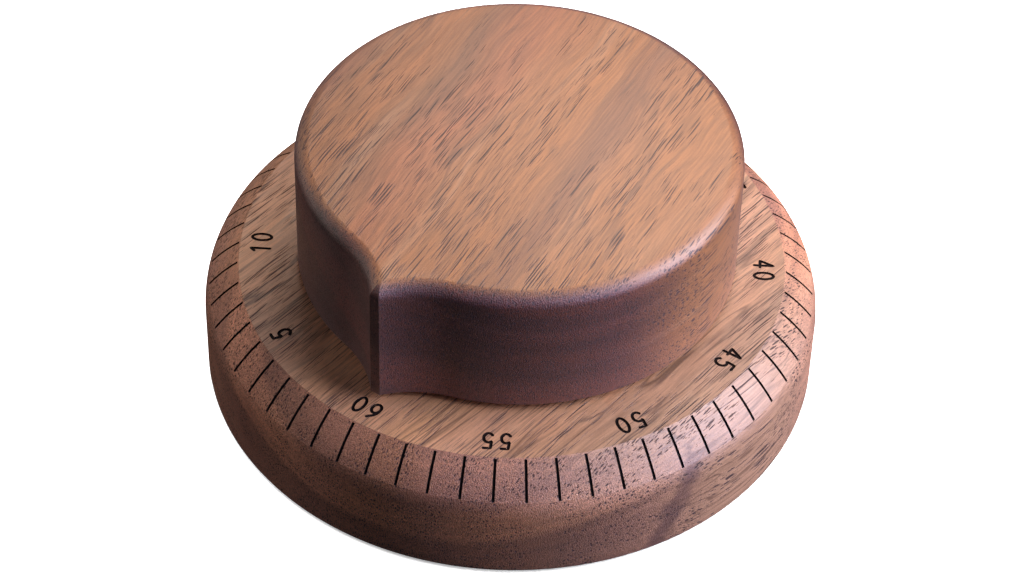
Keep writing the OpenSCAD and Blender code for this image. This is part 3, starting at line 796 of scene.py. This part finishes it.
def metal(name, light, dark, roughness, brushed=0.0):
    """Metal with fine marks. brushed, from 0 to 1, draws them out along Y."""
    n = Nodes(name)
    place = n.millimetres()
    x, y, z = n.split(place)
    stretch = 1 - 0.94 * brushed
    scratch = n.noise(n.xyz(n.scaled(x, 9.0), n.scaled(y, 9.0 * stretch), n.scaled(z, 9.0)), detail=4)
    stain = n.noise(place, scale=0.16, detail=3)
    tone = n.plus(n.scaled(scratch, 0.65), n.scaled(stain, 0.35))
    wear = n.worn_edges(place, 1.5)
    colour = n.ramp(tone, [(0.35, dark), (0.62, light)])
    n.surface(Base_Color=n.mix(n.scaled(wear, 0.5), colour, [c * 1.15 for c in light]),
              Metallic=1,
              Roughness=n.plus(n.step(tone, 0.35, 0.65, roughness + 0.1, roughness - 0.06),
                               n.scaled(wear, -0.06)),
              Normal=n.bump(scratch, 0.25, 0.02))
    return n.material


def moulded(name, light, dark, roughness, grain):
    """Moulded plastic or rubber with a fine cast texture of this many grains to a millimetre."""
    n = Nodes(name)
    place = n.millimetres()
    fine = n.noise(place, scale=grain, detail=3, roughness=0.6)
    cloud = n.noise(place, scale=0.09, detail=2)
    tone = n.plus(n.scaled(fine, 0.8), n.scaled(cloud, 0.2))
    wear = n.worn_edges(place, 2.0)
    colour = n.ramp(tone, [(0.35, dark), (0.65, light)])
    n.surface(Base_Color=n.mix(n.scaled(wear, 0.6), colour, [c * 3 for c in light]),
              Roughness=n.plus(n.step(tone, 0.35, 0.65, roughness - 0.06, roughness + 0.08),
                               n.scaled(wear, -0.12)),
              Normal=n.bump(fine, 0.3, 0.06))
    return n.material


def figure_ramp(*stops):
    """Colour stops given as (millimetres across the board, colour)."""
    return [((across + BASE_R) / (2 * BASE_R), colour) for across, colour in stops]


# The knob's colours
tan = (0.405, 0.162, 0.063)
orange = (0.425, 0.163, 0.054)
pink = (0.42, 0.154, 0.068)
olive = (0.32, 0.142, 0.066)
smoke = (0.29, 0.118, 0.055)
mauve = (0.34, 0.146, 0.081)
KNOB_FIGURE = figure_ramp((-28, mauve), (-24, olive), (-20, tan), (-16, olive), (-11, pink), (-4, tan),
                          (3, orange), (8.5, smoke), (12, tan), (19, orange), (28, tan))
# The base's colours
pale = (0.54, 0.298, 0.222)
fawn = (0.59, 0.296, 0.180)
rose = (0.64, 0.325, 0.212)
amber = (0.65, 0.322, 0.178)
clay = (0.49, 0.268, 0.178)
umber = (0.46, 0.220, 0.138)
BASE_FIGURE = figure_ramp((-42, umber), (-34, fawn), (-28, amber), (-20, fawn), (-12, umber), (-6, fawn),
                          (4, rose), (12, amber), (19, rose), (25, fawn), (34, clay), (42, pale))

walnut_base = walnut("walnut", grain_turn=-7, pith=(12, 62), figure=BASE_FIGURE,
                     end_tone=(1.22, 1.04, 1.10), veins=0.70, pore_lean=0.0, sheen=0.10, oil=0.0,
                     streak_at=(-18.1, 7.3, 0.44))
walnut_knob = walnut("walnut_knob", grain_turn=5, pith=(18, 74), figure=KNOB_FIGURE,
                     end_tone=(0.38, 0.25, 0.44), veins=0.40, pore_lean=-0.003, sheen=0.22, oil=0.46)
FINISHES = {
    "walnut": walnut_base,
    "walnut_knob": walnut_knob,
    "brass": metal("brass", (0.80, 0.58, 0.27), (0.62, 0.42, 0.17), 0.30, brushed=1),
    "steel": metal("steel", (0.62, 0.62, 0.63), (0.44, 0.44, 0.46), 0.32),
    "plated_steel": metal("plated_steel", (0.74, 0.74, 0.76), (0.60, 0.60, 0.63), 0.22),
    "spring_steel": metal("spring_steel", (0.16, 0.18, 0.27), (0.09, 0.10, 0.16), 0.30),
    "black_plastic": moulded("black_plastic", (0.030, 0.030, 0.032), (0.016, 0.016, 0.018), 0.50, 3.2),
    "black_rubber": moulded("black_rubber", (0.022, 0.022, 0.022), (0.012, 0.012, 0.012), 0.78, 1.6),
}
for subpart in frame["record"]["subparts"]:
    for slot in frame["nodes"][subpart["node"]].material_slots:
        slot.material = FINISHES[subpart["material_slot"]]

new_piece("walnut_base", build_base, "case", "base_body", [walnut_base, burnt_wood()])
new_piece("walnut_knob", build_knob, "knob_and_spindle", "knob", [walnut_knob])

# ---------- camera ----------

AZIMUTH = 32.15
ELEVATION = 44.0
DISTANCE = 0.444      # metres
ROLL = 1.62
LENS = 114.4
DROP = 0.547          # the camera looks this many degrees below the dial's centre

dial_centre = Vector((0, 0, DIAL_Z * MM))


def make_camera():
    a, e, r, d = (math.radians(x) for x in (AZIMUTH, ELEVATION, ROLL, DROP))
    back = Vector((math.sin(a) * math.cos(e), -math.cos(a) * math.cos(e), math.sin(e)))
    level = Vector((math.cos(a), math.sin(a), 0))
    rise = back.cross(level)
    right = level * math.cos(r) + rise * math.sin(r)
    up = rise * math.cos(r) - level * math.sin(r)
    tipped_back = back * math.cos(d) + up * math.sin(d)
    tipped_up = up * math.cos(d) - back * math.sin(d)
    data = bpy.data.cameras.new("camera")
    data.lens = LENS
    data.sensor_width = 36
    data.clip_start = 0.01
    camera = bpy.data.objects.new("camera", data)
    bpy.context.scene.collection.objects.link(camera)
    place = dial_centre + back * DISTANCE
    camera.matrix_world = Matrix((
        (right.x, tipped_up.x, tipped_back.x, place.x),
        (right.y, tipped_up.y, tipped_back.y, place.y),
        (right.z, tipped_up.z, tipped_back.z, place.z),
        (0, 0, 0, 1)))
    bpy.context.scene.camera = camera


# ---------- floor and light, in metres ----------

FLOOR_PROFILE = ((0.6, 0), (2.4, 0), (2.7, 0.08), (2.85, 0.35), (2.9, 3.0))     # (radius, height)

# Each lamp's bearing, elevation, distance, width, power and colour
LAMPS = {
    "key": (27, 29, 0.9, 0.7, 12.3, (1.0, 1.0, 1.0)),
    "back": (110, 48, 0.95, 0.6, 4.6, (1.0, 0.92, 0.84)),
    "top": (60, 66, 0.95, 0.5, 1.7, (1.0, 0.98, 0.98)),
    "far_left": (192, 19, 0.9, 0.6, 2.1, (1.0, 0.90, 0.80)),
    "fill": (-120, 35, 0.9, 0.6, 0.2, (1.0, 1.0, 1.0)),
    "sheen": (8, 26, 0.9, 1.1, 21, (0.38, 0.48, 1.0)),
    "floor_light": (0, 89, 2.0, 2.4, 160, (1, 1, 1)),
}


def floor_paper():
    """Pale paper that glows a little, so that it stays white."""
    n = Nodes("floor_paper")
    mottle = n.noise(n.coordinate("Object"), scale=30, detail=3)
    n.surface(Base_Color=n.ramp(mottle, [(0.3, (0.86, 0.86, 0.87)), (0.7, (0.88, 0.88, 0.88))]),
              Roughness=0.9, Emission_Color=(1, 1, 1), Emission_Strength=0.4)
    return n.material


def make_floor():
    """A round floor that curves up into a wall all round. It lights nothing."""
    mesh = bmesh.new()
    rings = [level_ring(mesh, circle(radius, 96), z) for radius, z in FLOOR_PROFILE]
    for a, b in zip(rings, rings[1:]):
        join_rings(mesh, a, b)
    mesh.faces.new(rings[0])
    bmesh.ops.recalc_face_normals(mesh, faces=mesh.faces)
    data = bpy.data.meshes.new("floor")
    mesh.to_mesh(data)
    mesh.free()
    data.polygons.foreach_set("use_smooth", [True] * len(data.polygons))
    data.materials.append(floor_paper())
    floor = bpy.data.objects.new("floor", data)
    bpy.context.scene.collection.objects.link(floor)
    floor.visible_diffuse = False
    floor.visible_glossy = False
    return floor


def area_light(name, bearing, elevation, distance, width, power, colour):
    """A soft square panel that faces the timer. Its bearing turns from +X to +Y."""
    data = bpy.data.lights.new(name, "AREA")
    data.shape = "RECTANGLE"
    data.size = width
    data.size_y = width
    data.energy = power
    data.color = colour
    lamp = bpy.data.objects.new(name, data)
    bpy.context.scene.collection.objects.link(lamp)
    a, e = math.radians(bearing), math.radians(elevation)
    way = Vector((math.cos(a) * math.cos(e), math.sin(a) * math.cos(e), math.sin(e)))
    lamp.location = dial_centre + way * distance
    lamp.rotation_euler = way.to_track_quat("Z", "Y").to_euler()
    return lamp


def make_studio():
    floor = make_floor()
    lamps = {name: area_light(name, *settings) for name, settings in LAMPS.items()}
    lamps["sheen"].visible_diffuse = False
    receivers = bpy.data.collections.new("floor_light_receivers")
    receivers.objects.link(floor)
    lamps["floor_light"].light_linking.receiver_collection = receivers

    world = bpy.data.worlds.new("studio")
    world.use_nodes = True
    sky = world.node_tree.nodes["Background"]
    sky.inputs["Color"].default_value = (0.80, 0.85, 1.0, 1)
    sky.inputs["Strength"].default_value = 0.02
    bpy.context.scene.world = world
    bpy.context.scene.view_settings.view_transform = "Standard"


make_camera()
make_studio()
